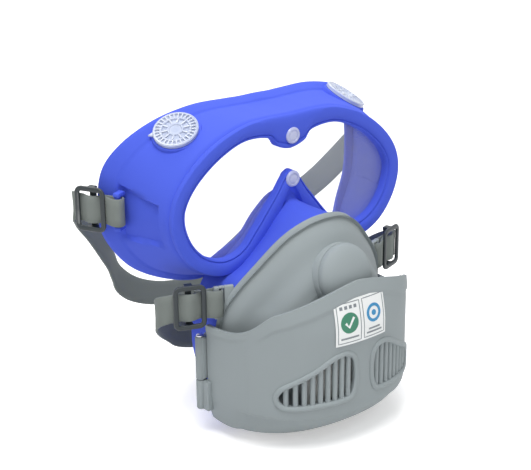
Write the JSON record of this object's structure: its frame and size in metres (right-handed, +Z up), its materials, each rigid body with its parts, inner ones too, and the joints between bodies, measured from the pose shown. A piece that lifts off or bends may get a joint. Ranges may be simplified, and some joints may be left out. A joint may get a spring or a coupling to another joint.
{
  "type": "respirator",
  "caption": "Goggles and half mask in one soft facepiece, with a clear lens, side vents, valves, a hinged filter cover and two adjustable head straps.",
  "frame": {"origin": "on the flat under the chin, in the middle plane, below the hollow that covers the mouth", "axes": "+Z up the wearer's face, -Y the way the wearer looks, +X to the wearer's left side, which is the right side as seen from in front"},
  "size_m": [0.2026, 0.1791, 0.1732],
  "materials": {
    "blue_pvc": "soft semi-matte moulded PVC",
    "clear_lens": "clear polished sheet",
    "clear_plastic": "clear, slightly milky moulding",
    "grey_plastic": "satin moulding",
    "silicone": "thin translucent sheet",
    "filter_felt": "needled felt",
    "steel_pin": "drawn wire",
    "label_print": "printed film",
    "grey_webbing": "woven webbing",
    "black_plastic": "satin moulding"
  },
  "bodies": {
    "root": {"facepiece": "blue_pvc", "lens": "clear_lens", "lens_rivet_upper": "clear_plastic", "lens_rivet_lower": "clear_plastic", "vent_cap_left": "clear_plastic", "vent_cap_right": "clear_plastic", "vent_base_left": "clear_plastic", "vent_base_right": "clear_plastic", "mask_body": "grey_plastic", "inhale_seat": "grey_plastic", "exhale_seat": "grey_plastic", "exhale_dome": "grey_plastic", "filter_grid": "grey_plastic", "filter_pad": "filter_felt", "hinge_pin": "steel_pin", "goggle_strap": "grey_webbing", "mask_strap": "grey_webbing"},
    "cover": {"filter_cover": "grey_plastic", "label": "label_print"},
    "inhale_valve": {"inhale_flap": "silicone"},
    "exhale_valve": {"exhale_flap": "silicone"},
    "temple_adjuster_left": {"temple_buckle_left": "black_plastic"},
    "temple_adjuster_right": {"temple_buckle_right": "black_plastic"},
    "cheek_adjuster_left": {"cheek_buckle_left": "black_plastic"},
    "cheek_adjuster_right": {"cheek_buckle_right": "black_plastic"}
  },
  "joints": [
    {"name": "cover_hinge", "type": "hinge", "parent": "root", "child": "cover", "pos_m": [-0.0608, 0.0006, 0.032], "axis": [0, 0, -1], "range_deg": [0, 95]},
    {"name": "inhale_lift", "type": "slide", "parent": "root", "child": "inhale_valve", "axis": [0, 1, 0], "range_m": [0, 0.002], "stiffness_N_per_m": 20, "springref_m": -0.001},
    {"name": "exhale_lift", "type": "slide", "parent": "root", "child": "exhale_valve", "axis": [0, -0.9659, 0.2588], "range_m": [0, 0.0015], "stiffness_N_per_m": 20, "springref_m": -0.001},
    {"name": "temple_slide_left", "type": "slide", "parent": "root", "child": "temple_adjuster_left", "axis": [-0.4711, 0.8821, 0], "range_m": [0, 0.004]},
    {"name": "temple_slide_right", "type": "slide", "parent": "root", "child": "temple_adjuster_right", "axis": [0.4711, 0.8821, 0], "range_m": [0, 0.004]},
    {"name": "cheek_slide_left", "type": "slide", "parent": "root", "child": "cheek_adjuster_left", "axis": [-0.9419, 0.336, 0], "range_m": [0, 0.004]},
    {"name": "cheek_slide_right", "type": "slide", "parent": "root", "child": "cheek_adjuster_right", "axis": [0.9419, 0.336, 0], "range_m": [0, 0.004]}
  ]
}
